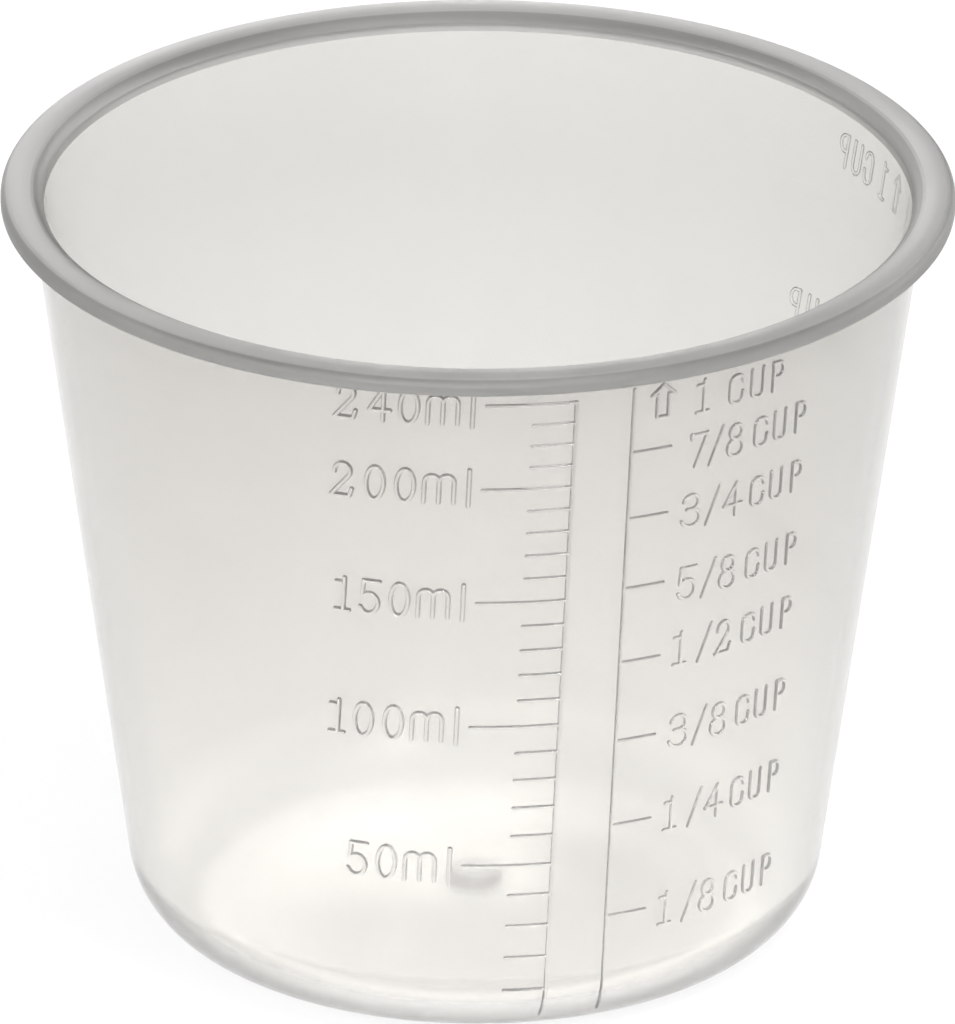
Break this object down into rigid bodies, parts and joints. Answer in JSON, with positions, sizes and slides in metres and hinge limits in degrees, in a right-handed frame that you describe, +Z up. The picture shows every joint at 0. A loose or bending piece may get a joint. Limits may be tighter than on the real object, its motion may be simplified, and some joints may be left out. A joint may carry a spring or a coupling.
{
  "type": "measuring cup",
  "caption": "Tapered tumbler of translucent plastic with a beaded rim and raised millilitre and fraction scales, for measuring kitchen ingredients by volume.",
  "frame": {"origin": "middle of the foot, on the table", "axes": "+Z up through the mouth; -Y faces the blank strip between the two front scales; +X is to the reader's right, where the thirds scale is"},
  "size_m": [0.0858, 0.0858, 0.0712],
  "materials": {
    "clear_plastic": "satin translucent natural polypropylene",
    "rim_plastic": "satin translucent natural polypropylene, thick section",
    "mark_plastic": "satin translucent natural polypropylene, raised marks"
  },
  "bodies": {
    "root": {"cup_wall": "clear_plastic", "cup_base": "clear_plastic", "rim_bead": "rim_plastic", "gate_boss": "clear_plastic", "gate_vestige": "clear_plastic", "millilitre_scale": "mark_plastic", "cup_scale": "mark_plastic", "thirds_scale": "mark_plastic", "one_cup_arrow": "mark_plastic"}
  },
  "joints": []
}
